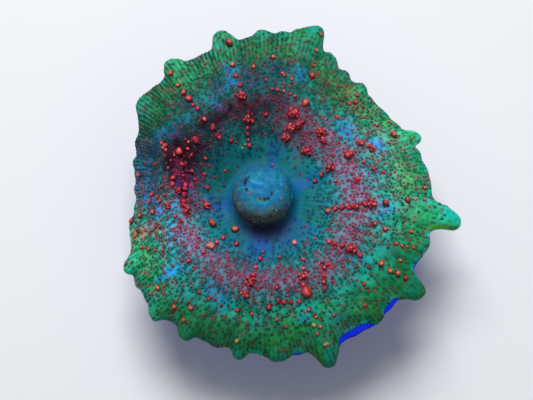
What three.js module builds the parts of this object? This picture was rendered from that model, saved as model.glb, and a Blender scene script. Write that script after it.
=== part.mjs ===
// Mushroom coral: one soft polyp. A wide ruffled disc with a domed mouth in its hollow stands on
// a short waisted column, and the foot is cut off flat where it held on to the rock.
// Millimetres, +Z up, origin at the centre of the flat cut under the foot.
import * as THREE from "three";
import { mergeVertices } from "three/addons/utils/BufferGeometryUtils.js";

// ---- Driving dimensions ----
const DISC_REACH = 34; // mean distance from the mouth's axis to the margin, without its lobes
const ROUND_CORE = 16; // inside this radius the polyp is round; outside it the outline takes over
const MOUTH_LEAN = -3; // how far in X the mouth's axis stands from the centre of the foot
const LEAN_HEIGHT = 17; // the column has done all its leaning at this height

// Half section of the round shape as [distance from the axis, height], from the rim of the flat
// cut up the column, out under the disc, over the margin and in to the top of the mouth's dome.
const UNDERSIDE = [
  [15.0, 0],
  [15.4, 1.6],
  [12.9, 6.4],
  [12.9, 11.2],
  [17.2, 16.8],
  [25.0, 19.7],
  [32.0, 20.0],
];
const MARGIN = [DISC_REACH, 21.2];
const TOPSIDE = [
  [32.2, 22.6],
  [26.4, 24.2],
  [19.6, 25.8],
  [12.8, 23.4],
  [8.4, 22.3],
  [6.5, 23.4],
  [6.1, 26.0],
  [4.3, 28.5],
  [0, 29.4],
];
const STEPS_PER_POINT = 2; // facets between two points of the section
const SEGMENTS = 144; // facets round the polyp

// Distance from the mouth's axis to the margin, every 15 degrees from +X towards +Y.
const OUTLINE = [
  35.9, 35.4, 34.0, 33.1, 34.6, 37.6, 37.3, 35.5, 34.8, 34.2, 31.0, 28.4,
  27.4, 29.0, 31.5, 32.4, 32.6, 32.4, 32.9, 33.6, 34.9, 35.4, 35.1, 35.6,
];
// How far the ruffled disc lifts the margin above its mean height, every 30 degrees.
const RUFFLE = [0.8, -1.4, -1.2, 0.8, 1.6, 0.2, -2.2, -0.6, 0.6, -1.2, 0.6, 1.8];

// The margin's lobes as [angle in degrees, reach past the outline, half width, sideways bend].
const LOBES = [
  [24.5, 2.3, 1.8, -0.2],
  [50, 1.1, 1.4, 0],
  [58, 0.5, 1.2, 0],
  [65, 1.2, 1.6, 0],
  [73.5, 4.2, 2.1, -0.4],
  [78.5, 2.0, 1.3, 0],
  [83, 1.0, 1.4, 0],
  [90.5, 1.4, 1.6, 0],
  [103.5, 3.9, 2.2, 0.1],
  [123, 2.9, 2.0, 0.2],
  [141, 2.0, 2.4, 0],
  [162.5, 0.6, 1.2, 0],
  [190, 0.6, 1.4, 0],
  [206.5, 1.6, 1.9, 0],
  [214, 0.4, 1.3, 0],
  [227.5, 2.0, 2.0, 0],
  [240.5, 1.5, 1.8, 0],
  [252.5, 0.7, 1.4, 0],
  [261, 1.5, 1.7, 0],
  [275.5, 1.5, 2.2, 0],
  [291.5, 4.2, 2.3, 0.1],
  [313, 0.6, 1.4, 0],
  [327.5, 4.3, 2.2, 0.2],
  [344, 0.6, 1.6, 0],
  [354.5, 6.2, 2.4, -0.8],
];
const LOBE_BLUNTNESS = 3; // 2 is a bell, more is squarer
const LOBE_ROOT = 0.85; // share of the disc's reach where the lobes begin to stand out
const LOBE_SWELL = 0.14; // a lobe thickens by this share of its reach, above and below
const LOBE_DROOP = 0.2; // and hangs by this share of it
const RIB_ROOT = 0.55; // share of the disc's reach where the low rib behind each lobe begins
const RIB_RISE = 0.2; // a rib is as high as this share of its lobe's reach

// The ring crest round the hollow stands higher on one side, fading over the widths given.
const CREST = { radius: 20, width: 5, rise: 1.8, angle: 130, spread: 55 };

// ---- Helpers ----
const { clamp, smoothstep, degToRad, radToDeg, euclideanModulo } = THREE.MathUtils;

// A smooth value round the disc, by a closed spline through values at equal steps of angle.
function aroundDisc(values) {
  const knots = values.map((value) => new THREE.Vector3(value, 0, 0));
  const curve = new THREE.CatmullRomCurve3(knots, true, "catmullrom", 0.5);
  return (angle) => curve.getPoint(euclideanModulo(angle, 360) / 360).x;
}
const outlineAt = aroundDisc(OUTLINE);
const ruffleAt = aroundDisc(RUFFLE);

// Signed difference of two angles in degrees, from -180 to 180.
function turnBetween(a, b) {
  return euclideanModulo(a - b + 180, 360) - 180;
}

// How far the lobes stand out and bend sideways at an angle: each is a blunt bump.
function lobesAt(angle) {
  const sum = { reach: 0, bend: 0 };
  for (const [at, reach, halfWidth, bend] of LOBES) {
    const across = Math.abs(degToRad(turnBetween(angle, at)) * DISC_REACH) / halfWidth;
    const bump = Math.exp(-(across ** LOBE_BLUNTNESS));
    sum.reach += reach * bump;
    sum.bend += bend * bump;
  }
  return sum;
}

// Height that the high side of the ring crest adds.
function crestRise(radius, angle) {
  const across = (radius - CREST.radius) / CREST.width;
  const round = turnBetween(angle, CREST.angle) / CREST.spread;
  return CREST.rise * Math.exp(-(across ** 2) - round ** 2);
}

// Moves a point of the plain turned shape to its place on the grown one. Side runs from -1 on the
// underside through 0 at the margin to 1 on top.
function grow(point, side) {
  const radius = Math.hypot(point.x, point.y);
  const angle = radToDeg(Math.atan2(point.y, point.x));
  const outward = Math.max(0, radius - ROUND_CORE) / (DISC_REACH - ROUND_CORE);
  const lobes = lobesAt(angle);
  const standing = smoothstep(radius / DISC_REACH, LOBE_ROOT, 1);
  const lobe = lobes.reach * standing;
  const rib = lobes.reach * smoothstep(radius / DISC_REACH, RIB_ROOT, 1);

  const reach = Math.min(radius, ROUND_CORE) + outward * (outlineAt(angle) - ROUND_CORE) + lobe;
  const turned = degToRad(angle) + (lobes.bend * standing) / DISC_REACH;
  const lean = MOUTH_LEAN * smoothstep(point.z, 0, LEAN_HEIGHT);
  const disc = ruffleAt(angle) * outward ** 2 + (side * LOBE_SWELL - LOBE_DROOP) * lobe;
  const relief = RIB_RISE * rib + crestRise(radius, angle);
  const height = point.z + disc + Math.max(0, side) * relief;
  point.set(reach * Math.cos(turned) + lean, reach * Math.sin(turned), height);
}

// ---- The polyp ----
function polyp() {
  const knots = [...UNDERSIDE, MARGIN, ...TOPSIDE].map(([radius, z]) => new THREE.Vector2(radius, z));
  const skin = new THREE.SplineCurve(knots).getPoints((knots.length - 1) * STEPS_PER_POINT);
  const section = [new THREE.Vector2(0, 0), ...skin];
  const marginStep = 1 + UNDERSIDE.length * STEPS_PER_POINT;

  const body = new THREE.LatheGeometry(section, SEGMENTS);
  body.deleteAttribute("uv");
  body.deleteAttribute("normal");
  body.rotateX(Math.PI / 2);
  const position = body.getAttribute("position");
  const point = new THREE.Vector3();
  for (let i = 0; i < position.count; i++) {
    const step = i % section.length;
    point.fromBufferAttribute(position, i);
    if (step > 0) grow(point, clamp((step - marginStep) / STEPS_PER_POINT, -1, 1));
    position.setXYZ(i, point.x, point.y, point.z);
  }

  const tissue = new THREE.MeshStandardMaterial({ color: 0x2f8f78, roughness: 0.45, metalness: 0 });
  const mesh = new THREE.Mesh(mergeVertices(body), tissue);
  mesh.name = "polyp";
  return mesh;
}

const mushroomCoral = new THREE.Group();
mushroomCoral.add(polyp());
export default mushroomCoral;
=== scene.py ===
import bpy
import numpy as np
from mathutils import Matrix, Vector


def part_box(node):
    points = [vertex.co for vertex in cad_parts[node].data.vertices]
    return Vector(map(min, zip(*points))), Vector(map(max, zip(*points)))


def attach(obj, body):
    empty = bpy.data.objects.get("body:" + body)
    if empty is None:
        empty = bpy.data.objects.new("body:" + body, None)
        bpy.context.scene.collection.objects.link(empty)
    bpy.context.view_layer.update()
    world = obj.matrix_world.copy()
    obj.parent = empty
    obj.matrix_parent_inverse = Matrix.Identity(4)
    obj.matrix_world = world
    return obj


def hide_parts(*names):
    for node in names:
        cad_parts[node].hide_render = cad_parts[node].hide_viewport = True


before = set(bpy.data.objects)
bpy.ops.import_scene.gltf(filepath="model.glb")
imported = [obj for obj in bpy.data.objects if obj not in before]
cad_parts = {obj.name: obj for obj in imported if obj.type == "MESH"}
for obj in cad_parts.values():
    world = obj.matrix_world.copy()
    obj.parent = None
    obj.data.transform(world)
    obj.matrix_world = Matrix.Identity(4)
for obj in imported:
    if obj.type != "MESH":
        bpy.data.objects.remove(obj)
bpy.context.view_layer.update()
foot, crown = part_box("polyp")


# ---- The polyp ----
# One bag of wet, jelly-like flesh. A waisted column carries a wide disc, whose margin runs out in
# blunt lobes and fine radial ridges, round a hollow with the domed mouth in its middle. It grew in
# one piece, and the foot was sliced off flat where it held on to its rock.
FULL_HEIGHT = 29.4
MM = (crown.z - foot.z) / FULL_HEIGHT  # metres in one of the polyp's millimetres
SECTION = np.array([  # [distance from the disc's axis, height] of knots, from the cut to the dome
    [15.0, 0], [15.4, 1.6], [12.9, 6.4], [12.9, 11.2], [17.2, 16.8], [25.0, 19.7], [32.0, 20.0],
    [34.0, 21.2], [32.2, 22.6], [26.4, 24.2], [19.6, 25.8], [12.8, 23.4], [8.4, 22.3], [6.5, 23.4],
    [6.1, 26.0], [4.3, 28.5], [0, 29.4],
])
MARGIN, TIP = 7, 16  # the knots of that section at the margin and at the top of the dome
DISC, CORE = 34, 16  # the disc's mean reach, and the reach within which the polyp is round
LEAN, LEAN_TOP = 3, 17  # mm that the axis leans, and the height from which on it leans no more
OUTLINE = [35.9, 35.4, 34.0, 33.1, 34.6, 37.6, 37.3, 35.5, 34.8, 34.2, 31.0, 28.4]
OUTLINE += [27.4, 29.0, 31.5, 32.4, 32.6, 32.4, 32.9, 33.6, 34.9, 35.4, 35.1, 35.6]
RUFFLE = [0.8, -1.4, -1.2, 0.8, 1.6, 0.2, -2.2, -0.6, 0.6, -1.2, 0.6, 1.8]
LOBES = [  # [angle in degrees, reach past the outline, half width, sideways bend]
    [24.5, 2.3, 1.8, -0.2], [50, 1.1, 1.4, 0], [58, 0.5, 1.2, 0], [65, 1.2, 1.6, 0],
    [73.5, 4.2, 2.1, -0.4], [78.5, 2.0, 1.3, 0], [83, 1.0, 1.4, 0], [90.5, 1.4, 1.6, 0],
    [103.5, 3.9, 2.2, 0.1], [123, 2.9, 2.0, 0.2], [141, 2.0, 2.4, 0], [162.5, 0.6, 1.2, 0],
    [190, 0.6, 1.4, 0], [206.5, 1.6, 1.9, 0], [214, 0.4, 1.3, 0], [227.5, 2.0, 2.0, 0],
    [240.5, 1.5, 1.8, 0], [252.5, 0.7, 1.4, 0], [261, 1.5, 1.7, 0], [275.5, 1.5, 2.2, 0],
    [291.5, 4.2, 2.3, 0.1], [313, 0.6, 1.4, 0], [327.5, 4.3, 2.2, 0.2], [344, 0.6, 1.6, 0],
    [354.5, 6.2, 2.4, -0.8],
]


def through(before, start, end, after, part):
    """A curve from start to end that leaves each of them in line with the points on either side."""
    out, into = (end - before) / 2, (after - start) / 2
    bend, turn = 2 * (start - end) + out + into, 3 * (end - start) - 2 * out - into
    return bend * part**3 + turn * part**2 + out * part + start


def section(span):
    """Reach and height at a place along the section, counted in knots, on the curve through them."""
    knot = np.clip(np.floor(span).astype(int), 0, TIP - 1)
    near = [SECTION[np.clip(knot + step, 0, TIP)] for step in (-1, 0, 1, 2)]
    return np.moveaxis(through(*near, (span - knot)[..., None]), -1, 0)


def round_disc(values, turn):
    """Values at equal steps of angle, joined by the same curve into a closed ring, read at turn."""
    values = np.array(values, float)
    place = np.mod(turn / (2 * np.pi), 1) * len(values)
    step = np.floor(place).astype(int)
    near = [values[(step + offset) % len(values)] for offset in (-1, 0, 1, 2)]
    return through(*near, place - step)


def smooth(start, end, value):
    """0 up to start, 1 from end on, and an S-shaped rise between them."""
    part = np.clip((value - start) / (end - start), 0, 1)
    return part * part * (3 - 2 * part)


def apart(turn, degrees):
    """The signed angle in radians from a bearing in degrees to turn."""
    return np.mod(turn - np.radians(degrees) + np.pi, 2 * np.pi) - np.pi


def band(start, full, last, end, value):
    """0 up to start, 1 from full to last, 0 from end on, and S-shaped slopes between them."""
    return smooth(start, full, value) * smooth(end, last, value)


def facing(turn, degrees):
    """The cosine of the angle between turn and a bearing in degrees: 1 where they agree."""
    return np.cos(turn - np.radians(degrees))


def bell(value, width, power=2):
    """1 where the value is 0, falling away on both sides over the width, squarer for a high power."""
    return np.exp(-(np.abs(value / width) ** power))


def swung(x, y, by):
    """A point in the plane, swung round the origin by an angle in radians."""
    return x * np.cos(by) - y * np.sin(by), x * np.sin(by) + y * np.cos(by)


def unit(vectors):
    """Vectors scaled to length 1."""
    return vectors / np.maximum(np.linalg.norm(vectors, axis=-1, keepdims=True), 1e-9)


def lobe_bumps(turn):
    """How far the lobes stand out and bend sideways at turn: each is a blunt bell of its width."""
    out, bend = np.zeros_like(turn), np.zeros_like(turn)
    for bearing, lobe_reach, half_width, lobe_bend in LOBES:
        bump = bell(apart(turn, bearing) * DISC, half_width, 3)
        out += lobe_reach * bump
        bend += lobe_bend * bump
    return out, bend


def flesh(turn, span):
    """The plain polyp. The section is turned about the disc's axis. Past the core its reach grows
    to the outline and the lobes, its height follows the ruffle, the ribs behind the lobes and the
    crest of the ring, and the axis leans off the foot's centre on the way up the column."""
    reach, height = section(span)
    side = np.clip(span - MARGIN, -1, 1)
    outward = np.maximum(0, reach - CORE) / (DISC - CORE)
    out, bend = lobe_bumps(turn)
    standing = smooth(0.85, 1, reach / DISC)
    lobe, rib = out * standing, out * smooth(0.55, 1, reach / DISC)
    wide = np.minimum(reach, CORE) + outward * (round_disc(OUTLINE, turn) - CORE) + lobe
    turned = turn + bend * standing / DISC
    lean = -LEAN * smooth(0, LEAN_TOP, height)
    crest = 1.8 * bell(reach - 20, 5) * bell(apart(turn, 130), np.radians(55))
    rise = round_disc(RUFFLE, turn) * outward**2 + (0.14 * side - 0.2) * lobe
    rise += np.maximum(0, side) * (0.2 * rib + crest)
    return np.stack([wide * np.cos(turned) + lean, wide * np.sin(turned), height + rise], -1)


RIDGES = 240  # fine ridges round the margin, with a row of dots in each furrow between two
GILLED = [0.1, 0.1, 0.15, 0.6, 1.0, 0.9, 0.3, 0.15, 0.25, 0.4, 0.35, 0.2]  # ridges, every 30 degrees
FOLDS = [(29, 0.4, 0.05), (37, 2.9, -0.07), (53, 5.1, 0.1)]  # (folds round the rim, phase, slant)
CHANCE = np.random.default_rng(41)
SWELL_LENGTHS = np.linspace(2.6, 8, 14)  # mm between the crests of swells that run in all directions
SWELL_WAVES = unit(CHANCE.normal(size=(14, 3))) * 2 * np.pi / SWELL_LENGTHS[:, None]
SWELL_PHASES = CHANCE.uniform(0, 6.3, 14)
CLUSTERS = [  # crimson clusters as [bearing in degrees, reach, width], each on a low mound
    [70, 18.6, 2.6], [64, 17.4, 2.5], [68, 16.2, 2.0], [70, 14.1, 1.9], [48, 13.8, 2.0],
    [48, 18.6, 1.9], [43, 17.6, 1.6], [26, 19.8, 2.3], [29, 23.4, 1.7], [25, 24.8, 1.7],
    [24, 15.6, 2.0], [9, 19.6, 1.4], [352, 18.6, 1.6], [355, 21.9, 2.2], [327, 21.2, 1.8],
    [324, 18.4, 1.6], [312, 20.1, 1.5], [295, 19.3, 1.9], [260, 22.0, 1.8], [262, 19.3, 2.1],
    [188, 12.1, 1.7], [191, 16.9, 2.2], [187, 21.7, 1.6], [178, 18.9, 1.4], [102, 21.2, 1.9],
    [102, 17.0, 1.8],
]


def furrows(turn):
    """The phase of the ridges at turn: even round the disc, with a slow waver."""
    waver = 1.1 * np.sin(7 * turn + 1) + 0.8 * np.sin(12 * turn + 4) + 0.5 * np.sin(19 * turn)
    return RIDGES * turn + waver


BLUE_EDGE = [  # [bearing, spread in degrees, mm of blue wall outside the green]
    [303, 8, 2.9], [318, 6, 2.2], [335, 4, 1.7], [345, 5, 1.2], [282, 3, 1.5], [268, 5, 1.2],
    [250, 5, 0.7], [193, 7, 1.0], [184, 4, 0.8], [15, 6, 0.5],
]


def edge_of_green(turn):
    """How far in from the margin the green of the disc ends: bells at bearings, none on a lobe."""
    wide = sum(mm * bell(apart(turn, at), np.radians(spread), 4) for at, spread, mm in BLUE_EDGE)
    return wide * (1 - smooth(0.15, 0.7, lobe_bumps(turn)[0]))


knot_table = np.linspace(0, TIP, 100 * TIP + 1)
table_points = np.stack(section(knot_table), 1)
table_steps = np.linalg.norm(np.diff(table_points, axis=0), axis=1)
table_length = np.concatenate([[0], np.cumsum(table_steps)])  # mm along the section from the cut
margin_length = np.interp(MARGIN, knot_table, table_length)
top_knots = knot_table[knot_table >= MARGIN][::-1]
top_reaches = table_points[knot_table >= MARGIN, 0][::-1]


def span_at(reach):
    """The place along the section that lies on top of the disc at a reach."""
    return np.interp(reach, top_reaches, top_knots)


def past_green(turn, span):
    """How far in from the end of the green a place lies, in mm along the section."""
    return np.interp(span, knot_table, table_length) - margin_length - edge_of_green(turn) + 0.9


MOUTH = (-1.0, 0.55)  # how far east and north of the disc's axis the mouth's middle lies
OVAL = (3.2, 2.1)  # half the length and half the width of the oval round the lips
OVAL_TILT, SLIT_TILT = np.radians([-38, -21])  # the long ways of the oval and of the slit


def at_mouth(turn, reach, tilt):
    """How far a place lies from the mouth's middle, along and across a line with that tilt."""
    return swung(reach * np.cos(turn) - MOUTH[0], reach * np.sin(turn) - MOUTH[1], -tilt)


def at_oval(turn, reach):
    """1 on the mouth's oval and less within it."""
    along, across = at_mouth(turn, reach, OVAL_TILT)
    return np.hypot(along / OVAL[0], across / OVAL[1])


def at_slit(turn, reach):
    """How far a place lies along the slit and across it. The slit's line waves a little."""
    along, across = at_mouth(turn, reach, SLIT_TILT)
    return along, across - 0.16 * np.sin(1.9 * along)


def relief(turn, span, place):
    """Height of the skin over the plain flesh in mm, as a sum of its ridges, folds and swells, of
    mounds under the clusters, of pleats in the hollow and down the column, and of the mouth: a
    faint oval groove round two lips that meet in a slit."""
    reach, height = section(span)
    ledge = 0.22 * smooth(0.3, 1.2, edge_of_green(turn)) * smooth(28, 31.5, reach)
    over = ledge * smooth(-0.2, 0.15, past_green(turn, span))
    above, off_cut = smooth(MARGIN - 0.4, MARGIN, span), smooth(0.4, 2.5, height)
    below = smooth(MARGIN, MARGIN - 1, span) * smooth(0.3, 2.5, height)
    rim = smooth(25, 31.5, reach) * smooth(MARGIN - 0.7, MARGIN - 0.2, span)
    rise = over - 0.4 * ledge + 0.06 * round_disc(GILLED, turn) * rim * np.cos(furrows(turn))
    for count, phase, slant in FOLDS:
        fold = np.cos(count * turn + phase + slant * reach)
        rise += 0.085 * fold * smooth(19, 30, reach) * above
    for wave, phase in zip(SWELL_WAVES, SWELL_PHASES):
        rise += 0.045 * np.sin(place @ wave + phase) * off_cut
    for bearing, centre, width in CLUSTERS:
        gap = reach**2 + centre**2 - 2 * reach * centre * np.cos(apart(turn, bearing))
        rise += 0.3 * np.exp(-np.maximum(gap, 0) / (0.8 * width) ** 2) * above
    hollow = band(6.2, 8, 12, 19, reach) * above
    rise += 0.022 * hollow * np.cos(52 * turn + 2.5 * np.sin(5 * turn) + 0.2 * reach)
    pleats = np.cos(56 * turn + 0.9 * np.sin(6 * turn + 0.12 * height))
    rise += 0.11 * pleats * below * smooth(33, 24, reach)
    wrinkles = np.sin(2.1 * height + 1.3 * np.sin(4 * turn) + 0.7 * np.sin(9 * turn + 2))
    rise += 0.07 * wrinkles * below * smooth(22, 16, reach)
    oval, on_dome = at_oval(turn, reach), smooth(14, 15, span)
    rise += (0.12 * smooth(0.98, 0.72, oval) - 0.16 * bell(oval - 1, 0.12)) * on_dome
    along, across = at_slit(turn, reach)
    lips = 0.05 * bell(np.abs(across) - 0.6, 0.4) - 0.1 * bell(across, 0.3)
    return rise + lips * bell(along, 1.9, 4) * on_dome


def skin(turn, span):
    """Points of the finished skin in mm, the outward normal of the flesh there, and its relief."""
    turn, span = np.broadcast_arrays(np.asarray(turn, float), np.asarray(span, float))
    nudge = 2e-4
    inner = np.minimum(span, TIP - 2 * nudge)
    round_way = flesh(turn + nudge, inner) - flesh(turn - nudge, inner)
    up_way = flesh(turn, inner + nudge) - flesh(turn, inner - nudge)
    normal = unit(np.cross(round_way, up_way))
    place = flesh(turn, span)
    rise = relief(turn, span, place)
    return place + normal * rise[..., None], normal, rise


# Rows of vertices run round the polyp. Their number doubles towards the wide margin.
BANDS = [  # [first knot, last knot, rows, vertices a row]
    [0, 4, 26, 240], [4, 6.3, 25, 480], [6.3, 10.3, 60, 960], [10.3, 12, 24, 480],
    [12, TIP, 42, 240],
]
CUT_ROWS = 4
rows = [(knot, 240) for knot in np.linspace(-1, 0, CUT_ROWS + 1)[1:-1]]  # inside the flat cut
for first, last, count, columns in BANDS:
    rows += [(knot, columns) for knot in np.linspace(first, last, count, endpoint=False)]
rows = [(knot, columns) for knot, columns in rows if knot < TIP - 0.04]
starts = np.cumsum([0] + [columns for _, columns in rows])
row_turns = [np.arange(columns) * 2 * np.pi / columns for _, columns in rows]
turns = np.concatenate(row_turns + [[0.0, 0.0]])
spans = np.concatenate([np.full(columns, knot) for knot, columns in rows] + [[-1.0, TIP]])
points, _, rises = skin(turns, np.maximum(spans, 0))
cut = spans < 0
points[cut] = skin(turns[cut], 0.0)[0] * (1 + spans[cut])[:, None] * [1, 1, 0]
points[spans == 0, 2] = 0
centre, tip = starts[-1], starts[-1] + 1
points[tip] = flesh(np.zeros(1), np.full(1, float(TIP)))[0] + [0, 0, rises[tip]]


def ring(row, first=0, step=1):
    """Every step-th vertex of a row, counted on from the first, once round the polyp."""
    columns = rows[row][1]
    return starts[row] + (np.arange(0, columns, step) + first) % columns


faces, face_row = [], []
for row in range(len(rows) - 1):
    lower, upper = rows[row][1], rows[row + 1][1]
    a, b = ring(row), ring(row, 1)
    if lower == upper:
        corners = [(a, b, ring(row + 1, 1), ring(row + 1))]
    elif upper == 2 * lower:
        c, d, e = ring(row + 1, 2, 2), ring(row + 1, 0, 2), ring(row + 1, 1, 2)
        corners = [(a, b, e), (a, e, d), (b, c, e)]
    else:
        a, b, c = ring(row, 0, 2), ring(row, 1, 2), ring(row, 2, 2)
        d, e = ring(row + 1), ring(row + 1, 1)
        corners = [(a, b, d), (b, c, e), (b, e, d)]
    new = np.concatenate([np.stack(polygon, 1) for polygon in corners]).tolist()
    faces += new
    face_row += [row] * len(new)
this, after = ring(0), ring(0, 1)
faces += np.stack([np.full_like(this, centre), after, this], 1).tolist()
face_row += [-1] * len(this)
this, after = ring(len(rows) - 1), ring(len(rows) - 1, 1)
faces += np.stack([this, after, np.full_like(this, tip)], 1).tolist()
face_row += [len(rows)] * len(this)


def stand(name, places, polygons, is_smooth):
    """A piece in the scene, from its points in mm and its faces, each smooth or not."""
    mesh = bpy.data.meshes.new(name)
    mesh.from_pydata((places * MM).tolist(), [], polygons)
    mesh.update()
    mesh.polygons.foreach_set("use_smooth", is_smooth)
    piece = bpy.data.objects.new(name, mesh)
    bpy.context.scene.collection.objects.link(piece)
    return piece


def corners_of(mesh):
    """The vertex at each corner of each face, in order."""
    corners = np.zeros(len(mesh.loops), np.int32)
    mesh.loops.foreach_get("vertex_index", corners)
    return corners


def keep_numbers(mesh, numbers):
    """Stores a number for each vertex under each name."""
    for name, values in numbers.items():
        layer = mesh.attributes.new(name, "FLOAT", "POINT")
        layer.data.foreach_set("value", np.ascontiguousarray(values, np.float32))


def lay_flat(mesh, flat):
    """Stores the unrolled map of a mesh, a point for each corner of each face."""
    mesh.uv_layers.new(name="OFBake").data.foreach_set("uv", flat.astype(np.float32).ravel())


body = stand("polyp_skin", points, faces, np.array(face_row) >= CUT_ROWS - 1)


def soft_spots(turn, reach, spots):
    """Soft patches in [bearing, reach, size, strength]: bells whose outline slow waves bend."""

    def bent(turn, reach):
        east, north = reach * np.cos(turn), reach * np.sin(turn)
        east = east + 0.7 * np.sin(0.9 * north + 1) + 0.35 * np.sin(2.3 * north)
        return east, north + 0.7 * np.sin(0.8 * east + 2) + 0.35 * np.sin(2.1 * east + 1)

    east, north = bent(turn, reach)
    clear = np.ones_like(turn)
    for bearing, centre_reach, size, strength in spots:
        x, y = bent(np.radians(bearing), centre_reach)
        gap = ((east - x) ** 2 + (north - y) ** 2) / size**2
        clear *= 1 - strength * np.exp(-gap)
    return 1 - clear


SKY = [  # bluish sheen
    [38, 22.6, 1.9, 0.8], [26, 26.4, 1.5, 1.0], [44, 24.7, 2.0, 0.3], [222, 23.8, 1.2, 0.7],
    [221, 25.4, 1.3, 0.9], [220, 27.0, 1.2, 0.9], [219, 28.6, 0.9, 0.7], [203, 21.0, 2.4, 0.3],
    [74, 26.3, 1.8, 0.7], [104, 27.6, 1.8, 0.7], [104, 24.6, 1.3, 0.7], [143, 25, 2.0, 0.6],
    [136, 23, 1.6, 0.4], [149, 28.0, 1.7, 0.6], [353, 25.4, 2.2, 0.5], [326, 25, 2.0, 0.25],
    [288, 27, 1.6, 0.4], [189, 24.6, 1.6, 0.6], [196, 28.5, 2.0, 0.2], [188, 19.5, 2.0, 0.5],
    [178, 29.0, 1.8, 0.35], [118, 22.4, 1.5, 0.5], [248, 24.5, 3.0, 0.4], [300, 29, 1.8, 0.25],
]
# Wine patches: the flesh's own dark crimson, deepened to near black by painted shade where the crest's
# inner slope turns from the lamp.
WINE_AND_SHADE = [  # dark crimson shade
    [153, 20.4, 4.2, 1.0], [159, 20.0, 2.6, 1.0], [160, 22.8, 2.8, 0.95], [168, 19.5, 3.2, 0.95],
    [176, 17.8, 2.6, 0.75], [153, 16.5, 2.8, 0.5], [142, 20.8, 2.8, 0.5], [131, 19.4, 2.4, 0.7],
    [121, 19.6, 2.5, 0.75], [111, 19.4, 2.5, 0.85], [101, 19.4, 2.5, 0.9], [91, 19.2, 2.5, 0.85],
    [82, 20, 2.4, 0.7], [185, 16, 2.6, 0.5], [60, 15.6, 1.6, 0.2], [174, 23.2, 2.2, 0.5],
]
MOSS = [  # yellowish green
    [92, 30.5, 2.6, 0.7], [80, 30.5, 2.2, 0.7], [112, 29.6, 2.4, 0.6], [62, 29, 3.0, 0.9],
    [53, 28.5, 3.2, 0.9], [43, 29.5, 3.0, 0.8], [33, 31.5, 2.2, 0.6], [12, 29.5, 2.8, 0.6],
    [4, 28.5, 3.0, 0.6], [350, 29, 2.6, 0.4], [312, 28.5, 3.0, 0.6], [300, 27, 2.6, 0.7],
    [283, 28.5, 2.4, 1.0], [281, 31.5, 1.8, 0.9], [272, 28.5, 3.0, 0.8], [258, 29.5, 2.8, 0.7],
    [243, 29, 2.8, 0.6], [221, 30, 2.4, 0.5], [209, 28.5, 2.8, 0.8], [199, 31, 1.6, 0.8],
    [129, 29.5, 2.6, 0.6], [140, 30, 3.0, 0.7], [150, 31, 2.0, 0.6], [118, 27, 2.4, 0.5],
]
HAZE = [  # dull blue
    [164, 30.5, 4.6, 1.0], [158, 33.0, 3.0, 0.9], [172, 32.5, 3.0, 0.9], [176, 28.5, 4.4, 1.0],
    [152, 28.5, 3.0, 0.7], [158, 27.5, 2.6, 0.6], [184, 27, 2.4, 0.5], [150, 24, 2.4, 0.5],
    [95, 24, 3.0, 0.8], [112, 25, 2.6, 0.8], [84, 26.5, 2.4, 0.7], [128, 24.5, 2.4, 0.7],
    [200, 25, 3.0, 0.3], [230, 27, 2.6, 0.35], [245, 22.5, 3.0, 0.5], [218, 21.5, 2.4, 0.5],
    [322, 23.5, 2.4, 0.35], [12, 23.5, 2.6, 0.4],
]
SHADE = [  # deep green
    [60, 28.5, 2.0, 0.7], [50, 27.6, 1.6, 0.6], [46, 30.8, 1.6, 0.5], [14, 31.0, 1.3, 0.9],
    [23, 30.4, 1.2, 0.7], [9, 31.2, 1.2, 0.6], [7, 32.4, 1.4, 0.6], [337, 28.8, 1.8, 0.7],
    [331, 31.6, 1.8, 0.5], [314, 27.4, 1.8, 0.8], [306, 28.8, 1.8, 0.5], [301, 31.5, 1.6, 0.4],
    [276, 29, 1.6, 0.5], [256, 29.6, 1.8, 0.6], [247, 28.2, 1.8, 0.7], [238, 28.4, 1.6, 0.6],
    [230, 30.5, 1.8, 0.5], [117, 28.8, 1.6, 0.5], [96, 29.6, 1.6, 0.4], [136, 31.2, 1.4, 0.4],
    [168, 31.4, 1.8, 0.5], [159, 31.4, 1.6, 0.4],
]
ROSE = [  # muted rose
    [188, 23.2, 2.6, 0.75], [198, 23.8, 2.4, 0.6], [209, 23, 2.4, 0.55], [185, 13.8, 2.0, 0.5],
    [180, 25.5, 1.6, 0.5],
]
VIOLET = [[171, 18.2, 2.8, 0.95], [168, 15, 2.0, 0.8], [173, 21.5, 2.2, 0.7], [180, 16.5, 2.2, 0.6]]
STRAW = [  # pale yellowish green
    [62, 30, 4, 0.6], [45, 30, 4, 0.8], [26, 29.5, 4, 0.8], [10, 29, 3.6, 0.7], [355, 28, 3, 0.4],
    [80, 30.5, 3, 0.5], [104, 30.5, 3, 0.4], [125, 30.5, 2.6, 0.5], [209, 29, 2.6, 0.4],
]
AMBER = [  # an ochre streak at the lower left, and one patch at the upper right
    [196, 32.2, 1.3, 1.1], [196, 30, 1.2, 1.0], [197, 28, 1.0, 0.95], [197, 26.2, 0.9, 0.9],
    [52, 31, 1.2, 0.4],
]
LIME = [[350.5, 33.3, 1.3, 1.0], [323, 33.4, 1.0, 0.5], [33, 33, 1.0, 0.4]]  # under three lobes
RAYS = [  # blue rays in the hollow as [bearing, half width in degrees, strength]
    [77, 8, 0.5], [22, 9, 0.6], [190, 5, 0.8], [179, 6, 0.4], [202, 7, 0.3], [268, 20, 0.9],
    [302, 9, 0.6], [322, 8, 0.5],
]
# Painted light and shade: factors on the skin's colour every 30 degrees, lighter at the right and the
# lower left, darker at the top and upper left, and the rim darker along the lower half.
PAINTED_DISC_LIGHT = [1.06, 0.94, 0.06, -0.3, -0.05, -0.42, 0.9, 1.36, 0.45, 0.42, 0.42, 0.6]  # every 30 degrees
PAINTED_RIM_LIGHT = [-0.15, 0.1, 0, 0.3, 0.35, 0.2, 0.45, -0.5, -0.85, -0.85, -0.85, -0.9]
PAINTED_HOLLOW_LIGHT = [0.1, 0.15, 0.1, -0.15, -0.25, -0.35, -0.05, 0.25, 0.1, 0, 0, 0.1]


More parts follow.
